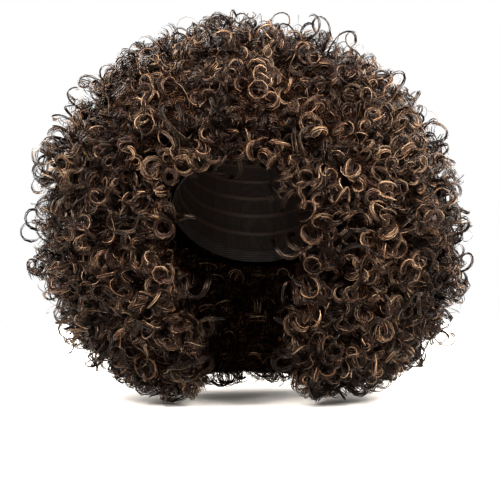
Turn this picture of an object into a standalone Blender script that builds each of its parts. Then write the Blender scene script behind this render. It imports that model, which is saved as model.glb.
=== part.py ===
"""A big curly wig: a net cap with an edge band, and sections of curled hair sewn on them.

The origin is where the top of the head meets the inside of the cap. +Z is up and the face
looks along -Y. A bearing is the angle round Z from the face, positive towards +X. A level runs
from 0 at the crown to 1 at the cap's hem, on the hair that is sewn on the cap, and on to 2 at
the hem of the hair that hangs below it. A depth runs from 0 at the roots to 1 at the tips.
"""

import math
import random

import bmesh
import bpy
from mathutils import Quaternion, Vector

# The head that the cap is made for
HEAD_BREADTH = 0.154
HEAD_LENGTH = 0.194
HEAD_CROWN = 0.112  # from the top of the head down to its widest level
NECK_BREADTH = 0.112
NECK_LENGTH = 0.124

# The cap and its edge band
CAP_WALL = 0.0015
BAND_WALL = 0.0020
BAND_HEIGHT = 0.0120
HAIRLINE_DROP = 0.040  # the cap's hem above the forehead, below the top of the head
NAPE_DROP = 0.146
SEWN_GAP = 0.0003  # between pieces that are sewn together

# The outer form of the hair
WIG_WIDTH = 0.424
FRONT_REACH = 0.160
BACK_REACH = 0.195
CROWN_RISE = 0.105  # hair above the top of the head
WIDEST_DROP = 0.120  # the widest level of the hair, below the top of the head
HEM_DROP = 0.278
CROWN_SQUARENESS = 2.0  # exponent of the upper outline, where 2 is an ellipse
HEM_SQUARENESS = 2.6
CROWN_LEAN = 0.016  # how far the crown leans to the wearer's right, over the whole height
HEM_TURN = math.radians(152)  # where the outline turns in under the hair
FULL_SHARE = 0.87  # depth at which the packed hair ends and single curls go on

# The opening for the face
FACE_WIDTH = 0.136
BROW_DROP = 0.044
NAPE_PARTING_DROP = 0.180  # tips of the lowest hair that is sewn on the back of the cap
JAW_DROP = 0.236
JAW_WIDTH = 0.086
HEM_OPENING = 0.116

# The curls at the tips
CURL_SPACING = 0.070
CURL_RADIUS = 0.0100  # of the curl's middle line
CURL_THICKNESS = 0.0300
CURL_TIP = 0.50  # the thickness of its tip, as a share
CURL_TURNS = 1.05
CURL_LENGTH = 0.046
EDGE_CURL_LENGTH = 0.030
EDGE_CURL_REACH = 0.016  # how far the curls of a free edge hang past it
FRINGE_EDGE_DEPTHS = (0.35, 0.70)  # the rows of curls along the fringe's lower edge
FALL_EDGE_DEPTHS = (0.30, 0.75)  # the rows of curls along the hem
CURL_SEED = 7

# The mesh of the sections
STATIONS = 30  # round the head
TEMPLE_STATION = 5  # steps from the middle of the face to the edge of its opening
BACK_STATION = 10  # steps from the middle of the face to the edge of the back hair
SEWN_LEVELS = 9
CROWN_LEVELS = 4  # of the sewn levels, those that the crown section takes
HANGING_LEVELS = 5
CURL_POINTS = 7
LINE_SAMPLES = 24  # points along a line whose length is measured
SEAM_STEP = 0.001  # step of a bearing or a level that finds the way across a seam
SHARP_ANGLE = math.radians(40)
WELD = 0.000001

STATION = math.tau / STATIONS
TEMPLE = TEMPLE_STATION * STATION
CROWN_LEVEL = CROWN_LEVELS / SEWN_LEVELS
BAND_LEVEL = (SEWN_LEVELS - 1) / SEWN_LEVELS
ROOT_GROWTH = max(CAP_WALL, BAND_WALL) + SEWN_GAP

# Finishes
HAIR_BROWN = (0.035, 0.018, 0.010, 1.0)
NET_BLACK = (0.012, 0.010, 0.009, 1.0)
BAND_BLACK = (0.020, 0.016, 0.014, 1.0)
HAIR_ROUGHNESS = 0.45
NET_ROUGHNESS = 0.80
BAND_ROUGHNESS = 0.75


# Curves and surfaces that the pieces share


def blend(low, high, share):
    return low + (high - low) * share


def eased(share):
    """From 0 to 1 with level ends."""
    share = min(max(share, 0.0), 1.0)
    return share * share * (3 - 2 * share)


def head_share(drop, growth):
    """The head's breadth or length at this drop below its top, as a share of the widest."""
    height = (HEAD_CROWN - drop) / (HEAD_CROWN + growth)
    return math.sqrt(max(0.0, 1 - height * height))


def hem_polar(bearing):
    """The angle from straight up at which the cap's slanted hem plane meets the head."""
    front = HEAD_LENGTH / 2 * head_share(HAIRLINE_DROP, 0)
    back = HEAD_LENGTH / 2 * head_share(NAPE_DROP, 0)
    slope = (NAPE_DROP - HAIRLINE_DROP) / (front + back)
    along = slope * HEAD_LENGTH / 2 * math.cos(bearing)
    height = HEAD_CROWN - HAIRLINE_DROP - slope * front
    return math.acos(height / math.hypot(HEAD_CROWN, along)) - math.atan2(along, HEAD_CROWN)


def root_polar(bearing, level):
    """The last sewn level is the edge band, which keeps its height all round."""
    hem = hem_polar(bearing)
    band_top = hem - BAND_HEIGHT / HEAD_CROWN
    if level < BAND_LEVEL:
        return band_top * level / BAND_LEVEL
    return blend(band_top, hem, (level - BAND_LEVEL) / (1 - BAND_LEVEL))


def root_point(bearing, level, growth=ROOT_GROWTH):
    """A point on the head or, on hanging hair, beside the head and the neck under the hem."""
    polar = root_polar(bearing, min(level, 1.0))
    height = (HEAD_CROWN + growth) * math.cos(polar) - HEAD_CROWN
    if level > 1:
        height = blend(height, EDGE_CURL_REACH - HEM_DROP, level - 1)
    share = head_share(-height, growth)
    breadth = (HEAD_BREADTH / 2 + growth) * share
    length = (HEAD_LENGTH / 2 + growth) * share
    if level > 1:
        breadth = max(breadth, NECK_BREADTH / 2 + growth)
        length = max(length, NECK_LENGTH / 2 + growth)
    return Vector((breadth * math.sin(bearing), -length * math.cos(bearing), height))


def outline_polar(drop):
    """The angle from straight up at which the outline is this far below the head's top."""
    if drop < WIDEST_DROP:
        rise = (WIDEST_DROP - drop) / (CROWN_RISE + WIDEST_DROP)
        return math.acos(rise ** (CROWN_SQUARENESS / 2))
    fall = (drop - WIDEST_DROP) / (HEM_DROP - WIDEST_DROP)
    return math.pi - math.acos(fall ** (HEM_SQUARENESS / 2))


def outline_point(bearing, polar):
    """A point on the outer form of the hair."""
    above = polar < math.pi / 2
    power = 2 / (CROWN_SQUARENESS if above else HEM_SQUARENESS)
    rise = CROWN_RISE + WIDEST_DROP if above else WIDEST_DROP - HEM_DROP
    out = math.sin(polar) ** power
    reach = FRONT_REACH if math.cos(bearing) > 0 else BACK_REACH
    return Vector((
        WIG_WIDTH / 2 * out * math.sin(bearing),
        -reach * out * math.cos(bearing),
        rise * abs(math.cos(polar)) ** power - WIDEST_DROP,
    ))


def leaned(point):
    """The point shifted sideways, half of the lean one way at the crown and half at the hem."""
    share = (point.z + HEM_DROP) / (CROWN_RISE + HEM_DROP)
    return point + Vector((CROWN_LEAN * (0.5 - share), 0, 0))


def opening_half_width(drop):
    """Half the width of the face opening at this drop below the top of the head."""
    if drop < JAW_DROP:
        narrowed = eased((drop - WIDEST_DROP) / (JAW_DROP - WIDEST_DROP))
        return blend(FACE_WIDTH, JAW_WIDTH, narrowed) / 2
    return blend(JAW_WIDTH, HEM_OPENING, eased((drop - JAW_DROP) / (HEM_DROP - JAW_DROP))) / 2


def tip_polar(bearing, level):
    """The tips' seam falls from the brow, over the face, to the nape parting at the back."""
    parting_drop = blend(BROW_DROP, NAPE_PARTING_DROP, (1 - math.cos(bearing)) / 2)
    parting = outline_polar(parting_drop)
    if level < 1:
        return parting * level
    return blend(parting, HEM_TURN, level - 1)


def tip_bearing(bearing, level, polar):
    """Below the crown the tips fan forward, as far as the edge of the face opening."""
    side = outline_point(math.pi / 2, polar)
    half_width = opening_half_width(-side.z)
    edge = math.asin(half_width / side.x) if side.x > half_width else math.pi / 2
    turned = abs(bearing)
    if turned < TEMPLE:
        fanned = edge * turned / TEMPLE
    else:
        fanned = blend(edge, math.pi, (turned - TEMPLE) / (math.pi - TEMPLE))
    share = eased((level - CROWN_LEVEL) / (1 - CROWN_LEVEL))
    return math.copysign(blend(turned, fanned, share), bearing)


def hair_point(bearing, level, depth):
    """A point in the hair, on the straight line from a root to its tip."""
    bearing = math.remainder(bearing, math.tau)
    polar = tip_polar(bearing, level)
    tip = leaned(outline_point(tip_bearing(bearing, level, polar), polar))
    return root_point(bearing, level).lerp(tip, depth)


# Making objects


def material(name, colour, roughness):
    made = bpy.data.materials.new(name)
    made.use_nodes = True
    made.diffuse_color = colour
    shader = made.node_tree.nodes["Principled BSDF"]
    shader.inputs["Base Color"].default_value = colour
    shader.inputs["Roughness"].default_value = roughness
    shader.inputs["Metallic"].default_value = 0.0
    return made


def add_mesh(name, points_to_faces, collection, finish=None):
    """An object from a bmesh that the given function fills."""
    mesh = bpy.data.meshes.new(name)
    bm = bmesh.new()
    points_to_faces(bm)
    bmesh.ops.remove_doubles(bm, verts=bm.verts, dist=WELD)
    bmesh.ops.recalc_face_normals(bm, faces=bm.faces)
    bm.to_mesh(mesh)
    bm.free()
    if finish:
        mesh.materials.append(finish)
    mesh.shade_smooth()
    mesh.set_sharp_from_angle(angle=SHARP_ANGLE)
    made = bpy.data.objects.new(name, mesh)
    collection.objects.link(made)
    return made


def join_rows(bm, rows):
    """Triangles between rows of points, split the same way on both sides of every seam."""
    for row, following in zip(rows, rows[1:]):
        for a, b, c, d in zip(row, row[1:], following[1:], following):
            bm.faces.new((a, b, c))
            bm.faces.new((a, c, d))


def sewn_shell(name, levels, wall, collection, finish):
    """A thin shell on the head between two levels, as one surface that Solidify thickens."""
    inset = SEWN_GAP / 2 / HEAD_CROWN

    def fill(bm):
        rows = []
        for station in range(STATIONS + 1):
            bearing = math.remainder(station * STATION, math.tau)
            polars = [root_polar(bearing, level) for level in levels]
            polars[-1] -= inset
            polars[0] += inset if levels[0] else 0
            row = []
            for polar in polars:
                out = math.sin(polar)
                row.append(bm.verts.new((
                    HEAD_BREADTH / 2 * out * math.sin(bearing),
                    -HEAD_LENGTH / 2 * out * math.cos(bearing),
                    HEAD_CROWN * (math.cos(polar) - 1),
                )))
            rows.append(row)
        join_rows(bm, rows)

    made = add_mesh(name, fill, collection, finish)
    thick = made.modifiers.new("wall", "SOLIDIFY")
    thick.thickness = wall
    thick.offset = 1
    thick.use_even_offset = True
    return made


def section_point(stations, levels, i, j, depth):
    """A grid point of a section, drawn back from the seams to its neighbours."""
    bearing, level = stations[i] * STATION, levels[j]
    point = hair_point(bearing, level, depth)
    full_turn = stations[-1] - stations[0] == STATIONS
    if i in (0, len(stations) - 1) and not full_turn:
        inward = SEAM_STEP if i == 0 else -SEAM_STEP
        along = hair_point(bearing + inward, level, depth) - point
        point = point + along.normalized() * SEWN_GAP / 2
    if j == len(levels) - 1 or j == 0 and level > 0:
        inward = SEAM_STEP if j == 0 else -SEAM_STEP
        along = hair_point(bearing, level + inward, depth) - point
        point = point + along.normalized() * SEWN_GAP / 2
    return point


def packed_hair(name, stations, levels, collection, finish):
    """The closed body of a section: inside, outside, and the walls at its four seams."""

    def fill(bm):
        inside, outside = (
            [
                [
                    bm.verts.new(section_point(stations, levels, i, j, depth))
                    for j in range(len(levels))
                ]
                for i in range(len(stations))
            ]
            for depth in (0, FULL_SHARE)
        )
        join_rows(bm, inside)
        join_rows(bm, outside)
        if levels[0] > 0:
            join_rows(bm, [[row[0] for row in inside], [row[0] for row in outside]])
        join_rows(bm, [[row[-1] for row in inside], [row[-1] for row in outside]])
        if stations[-1] - stations[0] < STATIONS:
            join_rows(bm, [inside[0], outside[0]])
            join_rows(bm, [inside[-1], outside[-1]])

    return add_mesh(name, fill, collection, finish)


def curl_path(start, direction, length, turned):
    """Points of one curl: it leaves along its direction and winds into a ring at its tip."""
    across = direction.orthogonal().normalized()
    across.rotate(Quaternion(direction, turned))
    other = direction.cross(across)
    points = []
    for step in range(CURL_POINTS):
        share = step / (CURL_POINTS - 1)
        turn = CURL_TURNS * math.tau * share
        radius = CURL_RADIUS * eased(2 * share)
        forward = length * math.sin(math.pi / 2 * share)
        ring = across * math.cos(turn) + other * math.sin(turn)
        points.append(start + direction * forward + ring * radius)
    return points


def curls_between(place):
    """How many curls fit along the line whose point at each share the function gives."""
    points = [place(k / LINE_SAMPLES) for k in range(LINE_SAMPLES + 1)]
    length = sum((b - a).length for a, b in zip(points, points[1:]))
    return max(1, round(length / CURL_SPACING))


def curls_around(first, last, level, depth):
    """How many curls fit between two bearings."""
    return curls_between(lambda share: hair_point(blend(first, last, share), level, depth))


def section_curls(stations, levels):
    """A curl at the middle of each cell that the section's outside divides into."""
    first, last = stations[0] * STATION, stations[-1] * STATION
    middle = (first + last) / 2
    rows = curls_between(lambda share: hair_point(middle, blend(levels[0], levels[-1], share), 1))
    paths = []
    for row in range(rows):
        level = blend(levels[0], levels[-1], (row + 0.5) / rows)
        columns = curls_around(first, last, level, 1)
        for column in range(columns):
            bearing = blend(first, last, (column + 0.5) / columns)
            tip = hair_point(bearing, level, 1)
            direction = (tip - hair_point(bearing, level, 0)).normalized()
            length = CURL_LENGTH - CURL_THICKNESS * CURL_TIP / 2
            start = tip - direction * CURL_LENGTH
            paths.append(curl_path(start, direction, length, random.uniform(0, math.tau)))
    return paths


def edge_curls(stations, level, depths):
    """Curls that hang from the free lower edge of a section."""
    first, last = stations[0] * STATION, stations[-1] * STATION
    paths = []
    down = Vector((0, 0, -1))
    rise = EDGE_CURL_LENGTH - EDGE_CURL_REACH
    length = EDGE_CURL_LENGTH - CURL_THICKNESS * CURL_TIP / 2
    for depth in depths:
        columns = curls_around(first, last, level, depth)
        for column in range(columns):
            bearing = blend(first, last, (column + 0.5) / columns)
            start = hair_point(bearing, level, depth) - down * rise
            paths.append(curl_path(start, down, length, random.uniform(0, math.tau)))
    return paths


def curl_tubes(name, paths, collection):
    """Tapered tubes along the paths, as one mesh for the Boolean."""
    curve = bpy.data.curves.new(name, "CURVE")
    curve.dimensions = "3D"
    curve.bevel_depth = CURL_THICKNESS / 2
    curve.bevel_resolution = 1
    curve.use_fill_caps = True
    for path in paths:
        spline = curve.splines.new("POLY")
        spline.points.add(len(path) - 1)
        for step, (point, place) in enumerate(zip(spline.points, path)):
            point.co = (*place, 1.0)
            point.radius = blend(1.0, CURL_TIP, step / (len(path) - 1))
    guide = bpy.data.objects.new(name + "_curve", curve)
    collection.objects.link(guide)
    evaluated = guide.evaluated_get(bpy.context.evaluated_depsgraph_get())
    mesh = bpy.data.meshes.new_from_object(evaluated)
    bm = bmesh.new()
    bm.from_mesh(mesh)
    bmesh.ops.remove_doubles(bm, verts=bm.verts, dist=WELD)
    bmesh.ops.recalc_face_normals(bm, faces=bm.faces)
    bm.to_mesh(mesh)
    bm.free()
    tubes = bpy.data.objects.new(name, mesh)
    tubes.matrix_world = guide.matrix_world
    collection.objects.link(tubes)
    bpy.data.objects.remove(guide)
    tubes.hide_render = True
    tubes.display_type = "WIRE"
    return tubes


def hair_section(name, stations, levels, collection, guides, finish, edge_depths=()):
    """A body of packed hair with its curls joined to it."""
    body = packed_hair(name, stations, levels, collection, finish)
    paths = section_curls(stations, levels)
    paths += edge_curls(stations, levels[-1], edge_depths)
    joined = body.modifiers.new("curls", "BOOLEAN")
    joined.operation = "UNION"
    joined.solver = "EXACT"
    joined.use_self = True
    joined.object = curl_tubes(name + "_curls", paths, guides)
    return body


def main():
    for old in list(bpy.data.objects):
        bpy.data.objects.remove(old)
    random.seed(CURL_SEED)
    wig = bpy.data.collections.new("curly_wig")
    guides = bpy.data.collections.new("curl_guides")
    bpy.context.scene.collection.children.link(wig)
    bpy.context.scene.collection.children.link(guides)
    hair = material("hair", HAIR_BROWN, HAIR_ROUGHNESS)
    net = material("cap_net", NET_BLACK, NET_ROUGHNESS)
    elastic = material("elastic", BAND_BLACK, BAND_ROUGHNESS)

    sewn = [k / SEWN_LEVELS for k in range(SEWN_LEVELS + 1)]
    hanging = [1 + k / HANGING_LEVELS for k in range(HANGING_LEVELS + 1)]
    crown = sewn[:CROWN_LEVELS + 1]
    sides = sewn[CROWN_LEVELS:]
    half = STATIONS // 2
    face = list(range(-TEMPLE_STATION, TEMPLE_STATION + 1))
    left = list(range(TEMPLE_STATION, BACK_STATION + 1))
    right = [-station for station in reversed(left)]
    back = list(range(BACK_STATION, STATIONS - BACK_STATION + 1))

    sewn_shell("cap", sewn[:-1], CAP_WALL, wig, net)
    sewn_shell("edge_band", sewn[-2:], BAND_WALL, wig, elastic)
    hair_section("crown_curls", list(range(-half, half + 1)), crown, wig, guides, hair)
    hair_section("fringe", face, sides, wig, guides, hair, FRINGE_EDGE_DEPTHS)
    hair_section("left_side_curls", left, sides, wig, guides, hair)
    hair_section("right_side_curls", right, sides, wig, guides, hair)
    hair_section("back_curls", back, sides, wig, guides, hair)
    hair_section("left_fall", left, hanging, wig, guides, hair, FALL_EDGE_DEPTHS)
    hair_section("right_fall", right, hanging, wig, guides, hair, FALL_EDGE_DEPTHS)
    hair_section("nape_fall", back, hanging, wig, guides, hair, FALL_EDGE_DEPTHS)


main()
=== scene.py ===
# %% [markdown]
# # A big curly wig
#
# The real wig is thousands of crimped synthetic fibres, sewn in rows on a small net cap. This
# lesson starts from a finished frame: the cap, its edge band, and plain closed solids that hold
# the place of each section of hair. The frame is never moved. Each section of hair is replaced
# with curls made fibre by fibre, which keep the outline that the solids have.

# %% Load the frame
import math

import bpy
import numpy as np
from mathutils import Matrix, Vector


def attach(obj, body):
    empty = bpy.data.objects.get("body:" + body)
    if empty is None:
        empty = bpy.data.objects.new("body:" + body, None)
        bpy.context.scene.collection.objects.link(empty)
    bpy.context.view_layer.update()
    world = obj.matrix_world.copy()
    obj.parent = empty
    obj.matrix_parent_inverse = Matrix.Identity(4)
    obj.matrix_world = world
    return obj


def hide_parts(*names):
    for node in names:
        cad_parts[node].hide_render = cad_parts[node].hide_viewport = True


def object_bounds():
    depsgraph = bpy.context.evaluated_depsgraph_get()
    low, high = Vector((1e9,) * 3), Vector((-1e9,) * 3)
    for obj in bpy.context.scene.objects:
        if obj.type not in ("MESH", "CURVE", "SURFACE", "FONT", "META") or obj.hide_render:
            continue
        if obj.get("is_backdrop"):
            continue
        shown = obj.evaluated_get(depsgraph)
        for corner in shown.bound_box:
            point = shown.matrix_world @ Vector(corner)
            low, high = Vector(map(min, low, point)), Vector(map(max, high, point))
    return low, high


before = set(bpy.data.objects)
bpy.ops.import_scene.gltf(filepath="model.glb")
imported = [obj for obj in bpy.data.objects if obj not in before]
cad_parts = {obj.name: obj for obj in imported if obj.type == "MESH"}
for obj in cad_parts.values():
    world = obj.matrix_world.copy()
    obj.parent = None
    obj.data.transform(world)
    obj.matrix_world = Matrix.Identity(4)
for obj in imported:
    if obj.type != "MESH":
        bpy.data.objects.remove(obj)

cad_low, cad_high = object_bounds()
print("Frame size in metres:", [round(high - low, 3) for low, high in zip(cad_low, cad_high)])

# %% [markdown]
# ## The camera
#
# A long lens from about two metres keeps the wig's proportions, as a catalogue photograph does.
# The view is six degrees to the wig's left of straight on, and rolled by half a degree. In the
# 500 pixel picture one pixel is one millimetre at the wig's middle.

# %% Set the camera
VIEW_AZIMUTH = math.radians(6)
VIEW_ELEVATION = math.radians(2)
VIEW_ROLL = math.radians(0.5)
VIEW_DISTANCE = 2.1
VIEW_SPAN = 0.500
VIEW_TARGET = Vector((0.001, 0.0, -0.130))
SENSOR_WIDTH = 36.0  # millimetres, as on a full-frame camera

camera_data = bpy.data.cameras.new("camera")
camera_data.sensor_width = SENSOR_WIDTH
camera_data.lens = camera_data.sensor_width * VIEW_DISTANCE / VIEW_SPAN
camera = bpy.data.objects.new("camera", camera_data)
bpy.context.scene.collection.objects.link(camera)
bpy.context.scene.camera = camera
towards_camera = Vector((
    math.sin(VIEW_AZIMUTH) * math.cos(VIEW_ELEVATION),
    -math.cos(VIEW_AZIMUTH) * math.cos(VIEW_ELEVATION),
    math.sin(VIEW_ELEVATION),
))
turn = towards_camera.to_track_quat("Z", "Y").to_matrix().to_4x4()
place = Matrix.Translation(VIEW_TARGET + towards_camera * VIEW_DISTANCE)
camera.matrix_world = place @ turn @ Matrix.Rotation(-VIEW_ROLL, 4, "Z")
print("Lens in mm:", round(camera_data.lens, 1))

# %% [markdown]
# ## Colour and node helpers
#
# Colours are written as the sRGB hex values that a colour picker shows. Shaders work in linear
# light, so one function converts them. A second function adds a shader node with its settings
# and links, and serves every material here.


# %% Colours from hex
def linear(hex_colour):
    """The linear RGBA colour of an sRGB hex value such as '#8f5f30'."""
    channels = [int(hex_colour[k:k + 2], 16) / 255 for k in (1, 3, 5)]
    return (*[c / 12.92 if c < 0.04045 else ((c + 0.055) / 1.055) ** 2.4 for c in channels], 1.0)


# %% Add a node
def add_node(tree, kind, settings=None, values=None, links=None):
    """A node of this kind, with its properties set, its sockets filled and its inputs linked."""
    node = tree.nodes.new(kind)
    for name, value in (settings or {}).items():
        setattr(node, name, value)
    for name, value in (values or {}).items():
        node.inputs[name].default_value = value
    for name, socket in (links or {}).items():
        tree.links.new(socket, node.inputs[name])
    return node


# %% Start a material
def start_material(name):
    """A node material with no nodes yet, and its tree."""
    made = bpy.data.materials.new(name)
    made.use_nodes = True
    made.node_tree.nodes.clear()
    return made, made.node_tree


# %% Fill a colour ramp
def fill_ramp(node, stops):
    """Sets a ramp's stops from pairs of a place and a hex colour."""
    elements = node.color_ramp.elements
    while len(elements) < len(stops):
        elements.new(0.5)
    for element, (place_on_ramp, hex_colour) in zip(elements, stops):
        element.position = place_on_ramp
        element.color = linear(hex_colour)


# %% [markdown]
# ## The floor and the light
#
# A catalogue photograph of dark hair needs broad lights from both sides, so that each curl
# shows a soft highlight, and a pale room that fills the shadows. The floor lies just under the
# lowest curls. It is a round pale table top. The lamps bring it up to the white of the room, and
# it throws back much less light at the hair than a white one does, which keeps the darks deep.

# %% Lay the floor
FLOOR_CLEARANCE = 0.002
FLOOR_RADIUS = 1.2
FLOOR_SIDES = 96
floor_mesh = bpy.data.meshes.new("floor")
floor_height = cad_low[2] - FLOOR_CLEARANCE
floor_turns = np.arange(FLOOR_SIDES) / FLOOR_SIDES * math.tau
floor_rim = [
    (FLOOR_RADIUS * math.cos(turned), FLOOR_RADIUS * math.sin(turned), floor_height)
    for turned in floor_turns
]
floor_mesh.from_pydata(floor_rim, [], [tuple(range(FLOOR_SIDES))])
floor = bpy.data.objects.new("floor", floor_mesh)
bpy.context.scene.collection.objects.link(floor)
floor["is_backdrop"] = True
floor_paint, tree = start_material("matt_studio_paint")
paint = add_node(tree, "ShaderNodeBsdfPrincipled", values={"Roughness": 0.9})
paint.inputs["Base Color"].default_value = linear("#c0bebb")
add_node(tree, "ShaderNodeOutputMaterial", links={"Surface": paint.outputs["BSDF"]})
floor_mesh.materials.append(floor_paint)
print("Floor height in mm:", round(floor_height * 1000, 1))

# %% Hang the lights
SOFTBOXES = [
    # name, azimuth in degrees, elevation in degrees, distance, size, power in watts
    ("key_light", -34, 38, 1.9, 0.75, 136),
    ("fill_light", 46, 30, 1.9, 0.75, 152),
    ("top_light", 5, 70, 1.8, 1.0, 72),
    ("front_light", 4, 8, 2.3, 1.2, 18),
    ("back_left_light", 130, 30, 2.0, 1.4, 80),
    ("back_right_light", -135, 30, 2.0, 1.4, 80),
]
LAMP_COLOUR = (1.0, 0.95, 0.90)  # a little warmer than daylight
for name, azimuth, elevation, distance, size, power in SOFTBOXES:
    light_data = bpy.data.lights.new(name, "AREA")
    light_data.size = size
    light_data.energy = power
    light_data.color = LAMP_COLOUR
    light = bpy.data.objects.new(name, light_data)
    azimuth, elevation = math.radians(azimuth), math.radians(elevation)
    away = Vector((
        math.sin(azimuth) * math.cos(elevation),
        -math.cos(azimuth) * math.cos(elevation),
        math.sin(elevation),
    ))
    light.location = VIEW_TARGET + away * distance
    light.rotation_euler = away.to_track_quat("Z", "Y").to_euler()
    bpy.context.scene.collection.objects.link(light)
world = bpy.data.worlds.new("pale_room")
world.use_nodes = True
world.node_tree.nodes["Background"].inputs["Color"].default_value = linear("#ffffff")
world.node_tree.nodes["Background"].inputs["Strength"].default_value = 1.0
bpy.context.scene.world = world
bpy.context.scene.view_settings.view_transform = "Standard"
bpy.context.scene.view_settings.gamma = 0.86  # a catalogue print has deeper darks
print("Lights:", len(SOFTBOXES))

# %% [markdown]
# ## The form of the hair
#
# The outer form is a squashed ball that is squarer under its widest level. The roots lie on
# the cap or, under it, round the open hollow. A bearing is the angle round the wig from its
# front, a level runs from 0 at the crown to 1 at the cap's hem and 2 at the hem of the hair,
# and a depth runs from 0 at a root to 1 at its tip. These are the same three coordinates that
# the solids were made with, so the curls fill the same space. The overall sizes are read from
# the frame.

# %% Sizes of the cap, the hair and the front opening
CAP_BREADTH, CAP_LENGTH, CAP_CROWN = 0.154, 0.194, 0.112
HOLLOW_BREADTH, HOLLOW_LENGTH = 0.112, 0.124
ROOT_GROWTH = 0.0023
CAP_FRONT_DROP, CAP_BACK_DROP = 0.040, 0.146
WIDEST_DROP = 0.120
FRONT_REACH, BACK_REACH = 0.148, 0.195
CROWN_SQUARENESS, HEM_SQUARENESS = 2.1, 2.35
CROWN_LEAN = 0.016
HEM_TURN = math.radians(152)
OPENING_WIDTH, NARROW_WIDTH, HEM_WIDTH = 0.136, 0.086, 0.116
FRONT_PARTING_DROP, NARROW_DROP, BACK_PARTING_DROP = 0.034, 0.236, 0.180
OPENING_EDGE, BACK_EDGE = math.radians(60), math.radians(120)
CROWN_LEVEL = 4 / 9
HEM_MARGIN = 0.006  # the outline closes this far under the lowest curls
ROOT_LIFT = 0.016  # the lowest roots lie this far above the hem
half_width = (cad_high[0] - cad_low[0]) / 2
crown_rise = cad_high[2]
hem_drop = HEM_MARGIN - cad_low[2]
print("Half width, rise and drop:", [round(v, 3) for v in (half_width, crown_rise, hem_drop)])


# %% Blend and ease
def blend(low, high, share):
    """The value this share of the way from low to high."""
    return low + (high - low) * share


def eased(share):
    """From 0 to 1 with level ends."""
    share = np.clip(share, 0.0, 1.0)
    return share * share * (3 - 2 * share)


def unit(vectors):
    """The vectors at length one."""
    return vectors / np.maximum(np.linalg.norm(vectors, axis=-1, keepdims=True), 1e-9)


# %% Roots on the cap and round the hollow
def cap_share(drop, growth):
    """The share of its full breadth that the cap has this far below its top."""
    height = (CAP_CROWN - drop) / (CAP_CROWN + growth)
    return np.sqrt(np.maximum(0.0, 1 - height * height))


def hem_polar(bearing):
    """The angle from straight up at which the cap's slanted hem lies."""
    front = CAP_LENGTH / 2 * cap_share(CAP_FRONT_DROP, 0)
    back = CAP_LENGTH / 2 * cap_share(CAP_BACK_DROP, 0)
    slope = (CAP_BACK_DROP - CAP_FRONT_DROP) / (front + back)
    along = slope * CAP_LENGTH / 2 * np.cos(bearing)
    height = CAP_CROWN - CAP_FRONT_DROP - slope * front
    return np.arccos(height / np.hypot(CAP_CROWN, along)) - np.arctan2(along, CAP_CROWN)


def root_point(bearing, level, growth=ROOT_GROWTH):
    """Points this far outside the cap's inner side or, under its hem, round the hollow."""
    polar = hem_polar(bearing) * np.minimum(level, 1.0)
    height = (CAP_CROWN + growth) * np.cos(polar) - CAP_CROWN
    hanging = np.clip(level - 1, 0.0, 1.0)
    height = blend(height, ROOT_LIFT - hem_drop, hanging)
    share = cap_share(-height, growth)
    breadth = (CAP_BREADTH / 2 + growth) * share
    length = (CAP_LENGTH / 2 + growth) * share
    below = hanging > 0
    breadth = np.where(below, np.maximum(breadth, HOLLOW_BREADTH / 2 + growth), breadth)
    length = np.where(below, np.maximum(length, HOLLOW_LENGTH / 2 + growth), length)
    return np.stack([breadth * np.sin(bearing), -length * np.cos(bearing), height], -1)


# %% Tips on the outline
def outline_polar(drop):
    """The angle from straight up at which the outline is this far below the cap's top."""
    rise = np.clip((WIDEST_DROP - drop) / (crown_rise + WIDEST_DROP), 0.0, 1.0)
    fall = np.clip((drop - WIDEST_DROP) / (hem_drop - WIDEST_DROP), 0.0, 1.0)
    above = np.arccos(rise ** (CROWN_SQUARENESS / 2))
    below = math.pi - np.arccos(fall ** (HEM_SQUARENESS / 2))
    return np.where(drop < WIDEST_DROP, above, below)


def outline_point(bearing, polar):
    """Points on the upright outline, for a bearing and an angle from straight up."""
    above = polar < math.pi / 2
    power = np.where(above, 2 / CROWN_SQUARENESS, 2 / HEM_SQUARENESS)
    rise = np.where(above, crown_rise + WIDEST_DROP, WIDEST_DROP - hem_drop)
    out = np.maximum(np.sin(polar), 0.0) ** power
    reach = np.where(np.cos(bearing) > 0, FRONT_REACH, BACK_REACH)
    x = half_width * out * np.sin(bearing)
    y = -reach * out * np.cos(bearing)
    z = rise * np.abs(np.cos(polar)) ** power - WIDEST_DROP
    return np.stack([x, y, z + 0 * x], -1)


def leaned(points):
    """Points shifted sideways, half of the lean one way at the crown and half at the hem."""
    share = (points[..., 2:3] + hem_drop) / (crown_rise + hem_drop)
    return points + (0.5 - share) * np.array([CROWN_LEAN, 0.0, 0.0])


def opening_half_width(drop):
    """Half the width of the front opening, which is narrowest some way above the hem."""
    to_narrow = eased((drop - WIDEST_DROP) / (NARROW_DROP - WIDEST_DROP))
    to_hem = eased((drop - NARROW_DROP) / (hem_drop - NARROW_DROP))
    upper = blend(OPENING_WIDTH, NARROW_WIDTH, to_narrow) / 2
    lower = blend(NARROW_WIDTH, HEM_WIDTH, to_hem) / 2
    return np.where(drop < NARROW_DROP, upper, lower)


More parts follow.
